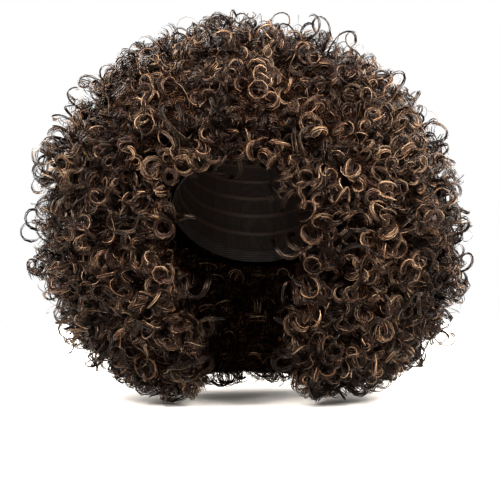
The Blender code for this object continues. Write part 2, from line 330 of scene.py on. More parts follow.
# %% Any point in the hair
def hair_point(bearing, level, depth):
    """Points on the straight lines from roots to tips, for arrays of coordinates."""
    bearing, level, depth = np.broadcast_arrays(bearing, level, depth)
    bearing = np.remainder(bearing + math.pi, math.tau) - math.pi
    parting_drop = blend(FRONT_PARTING_DROP, BACK_PARTING_DROP, (1 - np.cos(bearing)) / 2)
    parting = outline_polar(parting_drop)
    sewn = parting * np.minimum(level, 1.0)
    polar = np.where(level < 1, sewn, blend(parting, HEM_TURN, level - 1))
    side = outline_point(np.full_like(polar, math.pi / 2), polar)
    edge_share = opening_half_width(-side[..., 2]) / np.maximum(side[..., 0], 1e-6)
    edge = np.arcsin(np.clip(edge_share, 0.0, 1.0))
    turned = np.abs(bearing)
    past = (turned - OPENING_EDGE) / (math.pi - OPENING_EDGE)
    in_opening = edge * turned / OPENING_EDGE
    fanned = np.where(turned < OPENING_EDGE, in_opening, blend(edge, math.pi, past))
    fan_share = eased((level - CROWN_LEVEL) / (1 - CROWN_LEVEL))
    tip_bearing = np.copysign(blend(turned, fanned, fan_share), bearing)
    tip = leaned(outline_point(tip_bearing, polar))
    return blend(root_point(bearing, level), tip, depth[..., None])


# %% [markdown]
# ## The fibre
#
# Costume hair is modacrylic: a spun fibre, dark brown with a share of golden brown fibres mixed
# in, set into curls with steam. Its surface is smooth, so each fibre has a narrow bright line
# where it turns to the light. The shader is a plain Principled one with the roughness of spun
# acrylic. The colours come from a chart, read through a map on the mesh: one way along it is
# the length of a fibre, root to tip, and the other way runs through the fibres of the blend,
# from the darkest to the most golden. Each strand lies on its own narrow stretch of the chart.
# A second ramp darkens the roots, which lie in shade.

# %% Modacrylic fibre
CHART_FIBRES = 300  # fibres side by side over the whole chart
CHART_STREAKS = 6.0  # lighter and darker stretches along a strand
TONE_SWING, TONE_SHIFT = 1.40, -0.72  # the noise times one plus the other is near nought
hair_fibre, tree = start_material("modacrylic_fibre")
chart_place = add_node(tree, "ShaderNodeUVMap", {"uv_map": "fibre_chart"})
chart_axes = add_node(tree, "ShaderNodeSeparateXYZ", links={"Vector": chart_place.outputs["UV"]})
stretched = add_node(
    tree, "ShaderNodeVectorMath", {"operation": "MULTIPLY"},
    links={0: chart_place.outputs["UV"]},
)
stretched.inputs[1].default_value = (CHART_STREAKS, CHART_FIBRES, 1.0)
blend_noise = add_node(
    tree, "ShaderNodeTexNoise", {"noise_dimensions": "2D"},
    {"Scale": 1.0, "Detail": 1.0, "Roughness": 0.6},
    {"Vector": stretched.outputs["Vector"]},
)
fibre_swing = add_node(
    tree, "ShaderNodeMath", {"operation": "MULTIPLY_ADD"},
    {1: TONE_SWING, 2: TONE_SHIFT}, {0: blend_noise.outputs["Fac"]},
)
fibre_tone = add_node(
    tree, "ShaderNodeMath", {"operation": "ADD", "use_clamp": True},
    links={0: fibre_swing.outputs["Value"], 1: chart_axes.outputs["Y"]},
)
tone_ramp = add_node(tree, "ShaderNodeValToRGB", links={"Fac": fibre_tone.outputs["Value"]})
fill_ramp(tone_ramp, [
    (0.00, "#060100"),
    (0.25, "#120402"),
    (0.45, "#1f0c06"),
    (0.58, "#30190f"),
    (0.72, "#483424"),
    (0.88, "#6a5542"),
    (1.00, "#927e68"),
])
# Painted shade: this ramp darkens the roots, and with them the curls of clump hollows.
root_shade_ramp = add_node(tree, "ShaderNodeValToRGB", links={"Fac": chart_axes.outputs["X"]})
fill_ramp(root_shade_ramp, [(0.0, "#303030"), (0.5, "#b0b0b0"), (1.0, "#ffffff")])
shaded = add_node(
    tree, "ShaderNodeMix",
    {"data_type": "RGBA", "blend_type": "MULTIPLY"},
    {"Factor": 1.0},
    {6: tone_ramp.outputs["Color"], 7: root_shade_ramp.outputs["Color"]},
)
fibre_relief = add_node(
    tree, "ShaderNodeBump", values={"Strength": 0.4, "Distance": 0.0002},
    links={"Height": blend_noise.outputs["Fac"]},
)
fibre_skin = add_node(
    tree, "ShaderNodeBsdfPrincipled",
    values={"Roughness": 0.28, "IOR": 1.5, "Specular IOR Level": 0.18},
    links={"Base Color": shaded.outputs[2], "Normal": fibre_relief.outputs["Normal"]},
)
fibre_skin.inputs["Specular Tint"].default_value = linear("#f2d6c2")
add_node(tree, "ShaderNodeOutputMaterial", links={"Surface": fibre_skin.outputs["BSDF"]})
print("Material:", hair_fibre.name)

# %% [markdown]
# ## Packed hair in shadow
#
# Between the curls, deeper ones show in the dark. They are drawn in the finish of the packed
# hair, whose near-black colours are partly the dark fibre and partly painted shade: each cell
# of a cell pattern is one curl, and rings round the cell's middle are its strands. Noise breaks
# the rings up, and the same rings are the height of the relief.

# %% Curls seen deep in the hair
DEEP_CURL = 0.015  # from one curl's middle to the next
DEEP_STRAND = 0.0021  # real fibres are far finer, drawn coarser so that they show
STIR_SIZE, STIR_REACH = 0.012, 0.010  # how wide and how far the rings are pulled about
TUFT_SIZE = 0.006
packed_fibre_and_shade, tree = start_material("packed_modacrylic_fibre_and_painted_shade")
where = add_node(tree, "ShaderNodeTexCoord")
stir = add_node(
    tree, "ShaderNodeTexNoise", None, {"Scale": 1 / STIR_SIZE, "Detail": 2.0},
    {"Vector": where.outputs["Object"]},
)
stirred = add_node(
    tree, "ShaderNodeVectorMath", {"operation": "MULTIPLY_ADD"},
    links={0: stir.outputs["Color"], 2: where.outputs["Object"]},
)
stirred.inputs[1].default_value = (STIR_REACH, STIR_REACH, STIR_REACH)
deep_curls = add_node(
    tree, "ShaderNodeTexVoronoi", {"feature": "F1"}, {"Scale": 1 / DEEP_CURL},
    {"Vector": stirred.outputs["Vector"]},
)
ring_turn = add_node(
    tree, "ShaderNodeMath", {"operation": "MULTIPLY"},
    {1: DEEP_CURL / DEEP_STRAND * math.tau}, {0: deep_curls.outputs["Distance"]},
)
rings = add_node(
    tree, "ShaderNodeMath", {"operation": "SINE"}, links={0: ring_turn.outputs["Value"]},
)
tufts = add_node(
    tree, "ShaderNodeTexNoise", None,
    {"Scale": 1 / TUFT_SIZE, "Detail": 3.0, "Roughness": 0.7},
    {"Vector": where.outputs["Object"]},
)
ringed = add_node(
    tree, "ShaderNodeMath", {"operation": "MULTIPLY_ADD"},
    {1: 0.20}, {0: rings.outputs["Value"], 2: tufts.outputs["Fac"]},
)
tuft_shade_ramp = add_node(tree, "ShaderNodeValToRGB", links={"Fac": ringed.outputs["Value"]})
# Near-black colours: the dark fibre, darkened further as painted shade of the curls deep in the
# hair.
fill_ramp(tuft_shade_ramp, [
    (0.35, "#020000"),
    (0.56, "#0a0402"),
    (0.70, "#21130a"),
    (0.86, "#44301f"),
])
tuft_relief = add_node(
    tree, "ShaderNodeBump", values={"Strength": 1.0, "Distance": 0.002},
    links={"Height": ringed.outputs["Value"]},
)
packed_skin = add_node(
    tree, "ShaderNodeBsdfPrincipled",
    values={"Roughness": 0.85, "IOR": 1.5, "Specular IOR Level": 0.02},
    links={"Base Color": tuft_shade_ramp.outputs["Color"], "Normal": tuft_relief.outputs["Normal"]},
)
add_node(tree, "ShaderNodeOutputMaterial", links={"Surface": packed_skin.outputs["BSDF"]})
print("Material:", packed_fibre_and_shade.name)

# %% [markdown]
# ## Ribbons for fibres
#
# A real fibre is far thinner than a pixel, so each one drawn here stands for a small strand of
# them. The strand is a flat ribbon, two triangles for each step along it, rolled a little one
# way or the other so that it is seen from all sides. Its normals face out of the hair and fan
# over to its edges, so that it catches the light as a round strand does, and all the strands of
# a curl shine in the same places. The ribbons of one section make one mesh. They carry two maps
# with the same places: one that the material reads, and one called OFBake.


# %% Lay corners on the fibre chart
CHART_EDGE = 0.001  # no corner lies nearer than this to the chart's edge


def lay_on_chart(mesh, places):
    """Both maps of a mesh, from one chart place for each corner."""
    places = np.clip(places, CHART_EDGE, 1 - CHART_EDGE).astype(np.float32).ravel()
    for label in ("fibre_chart", "OFBake"):
        mesh.uv_layers.new(name=label).data.foreach_set("uv", places)


# %% Mesh from ribbons
FIBRE_LEAN = 0.9  # how far the normals fan over at the edges
ROLL_SHOWN = 0.9  # how much of a ribbon's own roll its normals follow
NEARLY_SQUARE = 0.99  # a trace of the way ahead stays, so that no way out has length nought


def ribbon_mesh(name, centres, outs, rolls, widths, chart_rows, alongs):
    """One mesh of ribbons from arrays of centre points, ways out, rolls, widths and places."""
    strands, steps, _ = centres.shape
    ahead = unit(np.gradient(centres, axis=1))
    outs = np.broadcast_to(outs[:, None], centres.shape)
    outs = unit(outs - ahead * np.sum(outs * ahead, -1, keepdims=True) * NEARLY_SQUARE)
    beside = unit(np.cross(outs, ahead))
    turned, rising = np.cos(rolls)[:, None, None], np.sin(rolls)[:, None, None]
    across = beside * turned + outs * rising
    facing = unit(outs + ROLL_SHOWN * (outs * turned - beside * rising))
    fanned = np.cross(facing, ahead)
    sides = np.array([-1.0, 1.0])[None, None, :, None]
    half = (widths / 2)[..., None, None]
    points = centres[:, :, None] + sides * half * across[:, :, None]
    normals = unit(facing[:, :, None] + FIBRE_LEAN * sides * fanned[:, :, None])
    first = (np.arange(strands)[:, None] * steps + np.arange(steps - 1)[None]) * 2
    quads = np.stack([first, first + 2, first + 3, first + 1], -1).reshape(-1)
    mesh = bpy.data.meshes.new(name)
    mesh.vertices.add(strands * steps * 2)
    mesh.vertices.foreach_set("co", points.astype(np.float32).ravel())
    mesh.loops.add(len(quads))
    mesh.loops.foreach_set("vertex_index", quads.astype(np.int32))
    mesh.polygons.add(len(quads) // 4)
    mesh.polygons.foreach_set("loop_start", np.arange(0, len(quads), 4, dtype=np.int32))
    mesh.update(calc_edges=True)
    mesh.polygons.foreach_set("use_smooth", np.ones(len(quads) // 4, dtype=bool))
    rows = np.broadcast_to(chart_rows[:, None, :], (strands, steps, 2))
    places = np.stack([np.repeat(alongs[..., None], 2, -1), rows], -1).reshape(-1, 2)
    lay_on_chart(mesh, places[quads])
    mesh.normals_split_custom_set_from_vertices(normals.reshape(-1, 3).astype(np.float32))
    mesh.materials.append(hair_fibre)
    return mesh


# %% [markdown]
# ## One curl
#
# A steam-set curl is a corkscrew. Its strands run side by side as a loose band, wound round a
# rod some 17 mm thick, and each strand wanders a little. Each curl leans its own way, and low
# ones hang a little more than those of the crown. The function below winds many curls at once:
# each has a tip on the form, a direction out of it, and random turns and thickness.

# %% Sizes of a curl
RING_RADIUS = (0.0055, 0.0115)
CURL_TURNS = (1.4, 2.1)
CURL_LENGTH = (0.020, 0.038)
CURL_LEAN = (0.1, 1.8)  # how far the rod leans aside, as a slope
BAND_WIDTH, BAND_THICKNESS = 0.0085, 0.0045  # along the rod and away from it
ROOT_BURIED = 0.026  # how deep the root end of a leaning curl lies
STRAND_STEPS = 16
STRAND_ROLL = 1.15  # in radians, to either side
STRAND_WIDTHS = [  # in their order round the band
    0.0008, 0.0011, 0.0006, 0.0009, 0.0006, 0.0008,
    0.0011, 0.0007, 0.0009, 0.0006, 0.0010, 0.0007,
]


# %% Directions across a set of directions
NEARLY_UPRIGHT = 0.9


def across_pair(directions):
    """Two unit vectors square to each direction and to each other."""
    sloping = np.abs(directions[:, 2:3]) < NEARLY_UPRIGHT
    helper = np.where(sloping, [[0.0, 0.0, 1.0]], [[1.0, 0.0, 0.0]])
    one = unit(np.cross(directions, helper))
    return one, np.cross(directions, one)


# %% Rest on the floor
RIBBON_CLEARANCE = 0.0015  # from the floor to a strand's middle
LEAST_HEIGHT = floor_height + RIBBON_CLEARANCE


def lift_off_floor(heights):
    """How far each curl has to rise as a whole so that it rests on the floor."""
    lowest = heights.min(axis=(1, 2), keepdims=True)
    return np.maximum(LEAST_HEIGHT - lowest, 0.0)


# %% Cut some strands short
def shorten(centres, ends):
    """Each strand resampled so that it stops at its own share of the curl."""
    last = STRAND_STEPS - 1
    wanted = np.linspace(0, 1, STRAND_STEPS)[None, None] * ends * last
    low = np.minimum(wanted.astype(int), last - 1)
    part = (wanted - low)[..., None]
    below = np.take_along_axis(centres, low[..., None], axis=2)
    above = np.take_along_axis(centres, low[..., None] + 1, axis=2)
    return blend(below, above, part)


# %% How strands differ within a curl
TIP_SINK = 0.8  # how deep a ring on its edge sinks, as a share of its radius
TIP_MARGIN = 0.001  # how much deeper every ring sinks
TIP_CLOSING = 0.30  # how much tighter the last ring is
LOOSE_ROOT, LOOSE_GAIN = 0.6, 0.6  # how loose the band is at the root, and how much it gains
TURN_SPREAD = (0.97, 1.03)
PHASE_SPREAD = 0.12
BAND_SHUFFLE = 0.3
BAND_FILL = (0.5, 1.0)  # strands keep to the outer half of the band
RADIUS_SPREAD = 0.05
WOBBLE_REACH, WOBBLE_WAVES = 0.0009, (4, 9)
STRAND_ENDS = (0.84, 1.0)
WIDTH_SPREAD = (0.85, 1.15)
TIP_WIDTH, TIP_LENGTH = 0.35, 1 / 6  # a strand narrows to this share over this last part


# %% Wind the curls
def wind_curls(rng, tips, normals, droop, strand_widths=STRAND_WIDTHS, ring=RING_RADIUS,
               turns=CURL_TURNS, length=CURL_LENGTH, lean=CURL_LEAN, stray=1.0, band=1.0):
    """Centres, ways out, rolls, widths and places along the strands of a curl for each tip."""
    count, strands = len(tips), len(strand_widths)
    one, other = across_pair(normals)
    swing = rng.uniform(0, math.tau, (count, 1))
    aside = one * np.cos(swing) + other * np.sin(swing)
    down = np.array([[0.0, 0.0, -1.0]])
    leaning = rng.uniform(*lean, (count, 1))
    axis = unit(normals * (1 - droop[:, None]) + down * droop[:, None] + aside * leaning)
    radius = rng.uniform(*ring, (count, 1))
    reach = rng.uniform(*length, (count, 1, 1))
    tilt = np.sqrt(np.maximum(0, 1 - np.sum(axis * normals, -1, keepdims=True) ** 2))
    end = tips - normals * (radius * tilt * TIP_SINK + TIP_MARGIN)
    one, other = across_pair(axis)
    share = np.linspace(0, 1, STRAND_STEPS)[None, None]

    def each(low, high):
        return rng.uniform(low, high, (count, strands, 1))

    hand = np.where(rng.random((count, 1, 1)) < 0.5, -1.0, 1.0)
    wound = rng.uniform(*turns, (count, 1, 1)) * math.tau * hand
    angle = rng.uniform(0, math.tau, (count, 1, 1)) + wound * share * each(*TURN_SPREAD)
    angle = angle + each(-PHASE_SPREAD, PHASE_SPREAD) * stray
    closing = 1.0 - TIP_CLOSING * share ** 2
    loosen = LOOSE_ROOT + LOOSE_GAIN * share
    in_order = np.arange(strands)[None, :, None] / strands * math.tau
    round_band = in_order + rng.uniform(0, math.tau, (count, 1, 1))
    round_band = round_band + each(-BAND_SHUFFLE, BAND_SHUFFLE)
    off_middle = each(*BAND_FILL) * band / 2
    uneven = 1 + each(-RADIUS_SPREAD, RADIUS_SPREAD) * loosen * stray
    ring_radius = radius[:, :, None] * closing * uneven
    ring_radius = ring_radius + BAND_THICKNESS * off_middle * np.sin(round_band)
    shift = BAND_WIDTH * off_middle * np.cos(round_band) * loosen
    wobble = each(0, WOBBLE_REACH) * stray
    wobble = wobble * np.sin(each(*WOBBLE_WAVES) * share + each(0, math.tau))
    back = np.sin(share * math.pi / 2) - 1
    forward = back * reach + shift + wobble
    sunk = back ** 2 * ROOT_BURIED * tilt[:, :, None]
    centres = (
        end[:, None, None]
        + axis[:, None, None] * forward[..., None]
        - normals[:, None, None] * sunk[..., None]
        + one[:, None, None] * (ring_radius * np.cos(angle))[..., None]
        + other[:, None, None] * (ring_radius * np.sin(angle))[..., None]
    )
    centres = shorten(centres, each(*STRAND_ENDS))
    centres[..., 2] += lift_off_floor(centres[..., 2])
    taper = blend(TIP_WIDTH, 1.0, eased((1 - share) / TIP_LENGTH))
    widths = np.array(strand_widths)[None, :, None] * each(*WIDTH_SPREAD) * taper
    alongs = share * np.ones((count, strands, 1))
    flat = count * strands
    return (
        centres.reshape(flat, STRAND_STEPS, 3),
        np.repeat(normals, strands, axis=0),
        rng.uniform(-STRAND_ROLL, STRAND_ROLL, flat),
        widths.reshape(flat, STRAND_STEPS),
        alongs.reshape(flat, STRAND_STEPS),
    )


# %% [markdown]
# ## Where the curls go
#
# Curls are set out over a surface in rows, closer together than a curl is wide, and each one
# is nudged from its place so that no grid shows. The visible surfaces of a section are its
# outside and, where the hair ends or turns in, the edge of the opening, the lower edge, and
# the inside round the hollow. Each surface is a patch of the three coordinates.


# %% Spread places over a patch
FINE_STEPS = 25  # how finely a line on a patch is measured
ROW_OFFSET = 0.25  # rows are shifted by this share of a spacing, each the other way
PLACE_NUDGE = 0.4  # how far a curl is nudged, as a share of a spacing
NORMAL_STEP = 0.004  # the step on a patch over which its slope is taken


def spread(rng, patch, spacing, toward):
    """Places about one spacing apart on a patch, with the normals that face toward."""
    fine = np.linspace(0, 1, FINE_STEPS)
    rows_line = patch(np.full(FINE_STEPS, 0.5), fine)
    rows = max(1, round(np.linalg.norm(np.diff(rows_line, axis=0), axis=1).sum() / spacing))
    across_share, down_share = [], []
    for row in range(rows):
        at = (row + 0.5) / rows
        line = patch(fine, np.full(FINE_STEPS, at))
        columns = round(np.linalg.norm(np.diff(line, axis=0), axis=1).sum() / spacing)
        columns = max(1, columns)
        offset = ROW_OFFSET if row % 2 else -ROW_OFFSET
        nudge = rng.uniform(-PLACE_NUDGE, PLACE_NUDGE, columns)
        place_in_row = np.arange(columns) + 0.5 + offset + nudge
        across_share.append(np.clip(place_in_row / columns, 0.0, 1.0))
        down_share.append(at + rng.uniform(-PLACE_NUDGE, PLACE_NUDGE, columns) / rows)
    a = np.concatenate(across_share)
    b = np.clip(np.concatenate(down_share), 0.0, 1.0)
    places = patch(a, b)
    step = NORMAL_STEP
    side = patch(np.clip(a + step, 0, 1), b) - patch(np.clip(a - step, 0, 1), b)
    down = patch(a, np.clip(b + step, 0, 1)) - patch(a, np.clip(b - step, 0, 1))
    normals = unit(np.cross(side, down))
    wanted = toward(places)
    sign = np.sign(np.sum(normals * wanted, -1, keepdims=True))
    return places, np.where(sign == 0, 1, sign) * normals


# %% The directions that surfaces face
HAIR_MIDDLE = np.array([[0.0, 0.02, -0.12]])
OPENING_SLANT = 0.3  # the edges of the opening face this much forwards


def outward(places):
    """Away from the middle of the hair."""
    return unit(places - HAIR_MIDDLE)


def downward(places):
    """Straight down."""
    return np.broadcast_to(np.array([[0.0, 0.0, -1.0]]), places.shape)


def to_opening(places):
    """Sideways across the front opening, and a little forwards."""
    level = 0 * places[:, 0]
    return np.stack([-np.sign(places[:, 0]), level - OPENING_SLANT, level], -1)


def inward(places):
    """Level, towards the middle of the hollow."""
    return -unit(places * np.array([[1.0, 1.0, 0.0]]))


# %% [markdown]
# ## Blending the colours
#
# Most strands are dark. About a quarter are golden, and those of one curl lie side by side in
# its band, so a curl is streaked rather than speckled. A slow noise over the wig makes some
# stretches more golden, as uneven blending of the fibre does.


# %% Slow waves over the hair
WAVE_COUNT = 7
WAVE_PHASE = 1.9  # from one wave to the next, in radians
WAVE_HEIGHT = 3.2  # what most sums of the waves stay under
BLEND_SEED, LUMP_SEED, CLUMP_SEED = 3, 5, 8


def waves(points, wavelength, seed):
    """A smooth number from about -1 to 1 at each point, with bumps about a wavelength wide."""
    headings = unit(np.random.default_rng(seed).normal(size=(WAVE_COUNT, 3)))
    directions = headings * math.tau / wavelength
    phases = np.arange(WAVE_COUNT) * WAVE_PHASE
    return np.sin(points @ directions.T + phases).sum(-1) / WAVE_HEIGHT


# %% Choose places on the chart
GOLD_SHARE = 0.25
UNEVEN_BLEND, UNEVEN_WAVELENGTH = 0.14, 0.11  # how far the share of gold drifts over the wig
CURL_SPREAD, STRAND_SPREAD = 0.25, 0.12  # how far it differs from curl to curl and in a curl
DARK_TONES, GOLD_TONES = (1.6, 2.4), (1.5, 1.8)  # the shapes of two beta distributions
OWN_TONE = 0.6  # how much of a strand's tone is its own and not its curl's
DARK_ROWS, GOLD_ROWS = (0.0, 0.52), (0.60, 0.96)  # where each kind lies on the chart
ROWS_PER_METRE = 8  # how much of the chart a strand takes for its width


def choose_rows(rng, tips, strand_widths):
    """The stretch of the chart that each strand of each curl takes, as pairs of rows."""
    count, strands = len(tips), len(strand_widths)
    drift = UNEVEN_BLEND * waves(tips, UNEVEN_WAVELENGTH, BLEND_SEED)[:, None]
    drift = drift + rng.uniform(-CURL_SPREAD, CURL_SPREAD, (count, 1))
    first_gold = rng.random((count, 1))
    round_band = np.remainder(np.arange(strands)[None] / strands - first_gold, 1.0)
    round_band = round_band + rng.uniform(-STRAND_SPREAD, STRAND_SPREAD, (count, strands))

    def tones(shape):
        of_curl = rng.beta(*shape, (count, 1))
        return blend(of_curl, rng.beta(*shape, (count, strands)), OWN_TONE)

    dark = blend(*DARK_ROWS, tones(DARK_TONES))
    gold = blend(*GOLD_ROWS, tones(GOLD_TONES))
    low = np.where(round_band < GOLD_SHARE + drift, gold, dark)
    high = low + np.array(strand_widths)[None] * ROWS_PER_METRE
    return np.stack([low, high], -1).reshape(-1, 2)


# %% [markdown]
# ## The packed hair under the curls
#
# Behind the curls a wig is a dark tangle. It is made as closed blocks, whose outside lies one to
# three centimetres under the tips and has lumps the size of curls, in the matt packed fibre,
# whose near-black colour is partly the dark fibre and partly painted shade.

# %% Make a closed skin over part of the form
UNDER_DEPTH = 0.77
UNDER_LUMP, LUMP_WAVELENGTH = 0.004, 0.020
SEWN_INSIDE, HANGING_INSIDE = 0.02, 0.14  # the depths of the skin's inner side


def skin_block(name, bearings, levels, closed_round, edge_level):
    """Inside, outside and free walls of a block of hair, as one mesh."""
    grid_b, grid_l = np.meshgrid(bearings, levels, indexing="ij")
    grid_l = blend(levels[0], grid_l, edge_level(grid_b))
    outside = hair_point(grid_b, grid_l, UNDER_DEPTH)
    lumps = waves(outside, LUMP_WAVELENGTH, LUMP_SEED) * UNDER_LUMP
    outside = outside + outward(outside) * lumps[..., None]
    inside = hair_point(grid_b, grid_l, SEWN_INSIDE if closed_round else HANGING_INSIDE)
    rows, columns = grid_b.shape
    points = np.concatenate([outside.reshape(-1, 3), inside.reshape(-1, 3)])
    index = np.arange(rows * columns).reshape(rows, columns)
    inner = index + rows * columns
    faces = []

    def add_faces(near, far):
        faces.extend(np.stack([near[:-1], near[1:], far[1:], far[:-1]], -1).tolist())

    for i in range(rows - 1):
        add_faces(index[i], index[i + 1])
        add_faces(inner[i + 1], inner[i])
    add_faces(index[:, -1], inner[:, -1])
    if levels[0] > 0:
        add_faces(inner[:, 0], index[:, 0])
    if not closed_round:
        add_faces(inner[0], index[0])
        add_faces(index[-1], inner[-1])
    mesh = bpy.data.meshes.new(name)
    mesh.from_pydata(points.tolist(), [], faces)
    mesh.materials.append(packed_fibre_and_shade)
    mesh.shade_smooth()
    return mesh


# %% Place a piece
def place_piece(name, mesh, *nodes):
    """An object for a mesh, riding on the wig and standing for the nodes that it replaces."""
    piece = bpy.data.objects.new(name, mesh)
    bpy.context.scene.collection.objects.link(piece)
    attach(piece, "root")
    if nodes:
        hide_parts(*nodes)
    mesh.calc_loop_triangles()
    print(name, "triangles:", len(mesh.loop_triangles))
    return piece


# %% Place the packed hair
SEWN_GRID, HANGING_GRID = (145, 31), (97, 23)  # points round and down each skin
FRINGE_STOP, HEM_STOP = 0.84, 0.90  # the skin stops at these shares of the way down
STOP_WIDTH = 0.3  # in radians, from where the fringe's stop ends to the full length
EDGE_INSET = 0.24  # in radians, from the opening's edge to the skin


def fringe_held_back(bearings):
    """The skin stops short of the fringe's lower edge, where the curls show from below."""
    return blend(FRINGE_STOP, 1.0, eased((np.abs(bearings) - OPENING_EDGE) / STOP_WIDTH))


def hem_held_back(bearings):
    """The skin stops short of the hem, where the curls show all round."""
    return np.full_like(bearings, HEM_STOP)


sewn_round = np.linspace(-math.pi, math.pi, SEWN_GRID[0])
sewn_down = np.linspace(0.0, 1.0, SEWN_GRID[1])
sewn_skin = skin_block("packed_sewn_hair", sewn_round, sewn_down, True, fringe_held_back)
place_piece("packed_sewn_hair", sewn_skin)
inset = OPENING_EDGE + EDGE_INSET
hanging_round = np.linspace(inset, math.tau - inset, HANGING_GRID[0])
hanging_down = np.linspace(1.0, 2.0, HANGING_GRID[1])
hanging_skin = skin_block(
    "packed_hanging_hair", hanging_round, hanging_down, False, hem_held_back,
)
place_piece("packed_hanging_hair", hanging_skin)

# %% [markdown]
# ## The sections
#
# Each section is listed with the node that it replaces, the bearings and levels that it
# covers, and how far apart its curls stand. The loop spreads curls over each surface that
# shows, winds them, and joins the section's strands into one mesh. Slow waves gather the curls
# into clumps. The curls in the hollows between them lie nearer the dark root end of the chart,
# which is painted shade. Low curls at the front turn their rings forward, as hanging curls do.

# %% Section table
FULL = math.pi
SECTIONS = [
    # name, node, first and last bearing, first and last level, spacing of the curls
    ("crown_hair", "crown_curls", -FULL, FULL, 0.02, CROWN_LEVEL, 0.0135),
    ("fringe_hair", "fringe", -OPENING_EDGE, OPENING_EDGE, CROWN_LEVEL, 1.0, 0.0125),
    ("left_side_hair", "left_side_curls", OPENING_EDGE, BACK_EDGE, CROWN_LEVEL, 1.0, 0.0135),
    ("right_side_hair", "right_side_curls", -BACK_EDGE, -OPENING_EDGE, CROWN_LEVEL, 1.0, 0.0135),
    ("back_hair", "back_curls", BACK_EDGE, math.tau - BACK_EDGE, CROWN_LEVEL, 1.0, 0.0165),
    ("left_fall_hair", "left_fall", OPENING_EDGE, BACK_EDGE, 1.0, 2.0, 0.0137),
    ("right_fall_hair", "right_fall", -BACK_EDGE, -OPENING_EDGE, 1.0, 2.0, 0.0137),
    ("nape_hair", "nape_fall", BACK_EDGE, math.tau - BACK_EDGE, 1.0, 2.0, 0.0160),
]
HIDDEN_SPACING = 1.3  # how much wider the curls stand on surfaces that hardly show
EDGE_DEPTHS = (0.08, 0.95)  # where the curls of a lower edge begin and end
SIDE_DEPTHS = (0.05, 0.95)  # and those of the opening's edges
print("Sections:", len(SECTIONS))


# %% Surfaces of a section that show
def section_patches(first, last, upper, lower):
    """A patch, the way it faces, and how widely its curls stand, for each surface."""
    def round_at(share):
        return blend(first, last, share)

    def lower_edge(a, b):
        return hair_point(round_at(a), lower, blend(*EDGE_DEPTHS, b))

    patches = []
    # the crown goes all the way round, so each half of it gets rows of its own
    parts = 2 if last - first > FULL else 1
    for part in range(parts):
        def outside(a, b, part=part):
            quarter_turned = round_at((a + part) / parts) - math.pi / 2 * (parts - 1)
            return hair_point(quarter_turned, blend(upper, lower, b), 1.0)

        patches.append((outside, outward, 1.0))
    if lower > 1:
        patches.append((lower_edge, downward, HIDDEN_SPACING))
    elif first == -OPENING_EDGE:
        patches.append((lower_edge, downward, 1.0))
    for edge in (first, last):
        if lower > 1 and math.isclose(abs(edge), OPENING_EDGE):
            def opening_side(a, b, edge=edge):
                return hair_point(edge, blend(upper, lower, b), blend(*SIDE_DEPTHS, a))

            patches.append((opening_side, to_opening, 1.0))
    return patches


# %% Places for the curls of a section
def set_out(rng, patches, spacing):
    """All the places and normals on the given patches."""
    found = [spread(rng, patch, spacing * wide, toward) for patch, toward, wide in patches]
    return np.concatenate([f[0] for f in found]), np.concatenate([f[1] for f in found])


# %% Let the curls stand proud
FRONT_HELD, FLOOR_HELD = -0.006, 0.003  # where curls at the front and over the floor stop
FRONT_FROM, FRONT_OVER, FRONT_HOLD = 0.09, 0.05, 0.7  # where the front starts, and its hold
CLEAR_HEIGHT, CLEARING = 0.050, 0.030  # curls this far over the floor have room to hang
DOWN_FROM, DOWN_OVER = 0.2, 0.5  # how far a surface faces down before it is held


def stand_proud(places, normals, amount):
    """Places moved along their normals, less at the front and very little near the floor."""
    at_front = eased((-places[:, 1] - FRONT_FROM) / FRONT_OVER)[:, None]
    near_floor = eased((floor_height + CLEAR_HEIGHT - places[:, 2:3]) / CLEARING)
    facing_floor = eased((-normals[:, 2:3] - DOWN_FROM) / DOWN_OVER) * near_floor
    amount = blend(amount, FRONT_HELD, FRONT_HOLD * at_front)
    return places + normals * blend(amount, FLOOR_HELD, facing_floor)


# %% How curls gather and hang
CLUMP_HEIGHT, CLUMP_WAVELENGTH, CLUMP_MIDDLE = 0.012, 0.050, 0.35
CURL_HEIGHTS = (-0.006, 0.004)  # how far single curls stand in or out of their clump
# Painted shade: curls in a clump's hollows are moved toward the chart's dark root end.
HOLLOW_SHADE = 0.45  # how far down the chart's length the curls of a hollow lie
HOLLOW_FROM, HOLLOW_OVER = -0.7, 1.1  # the clump's bumps over which that shade fades
DROOP_TOP, DROOP_HEM, DROOP_SPREAD = 0.05, 0.22, (0.5, 1.3)
LOW_FROM, LOW_OVER = 0.06, 0.30  # the height where hanging starts, and over how much it grows
FORWARD_TURN = 0.9  # how far the low curls at the front turn their rings forward
FORWARD_FROM, FORWARD_OVER = 0.04, 0.08

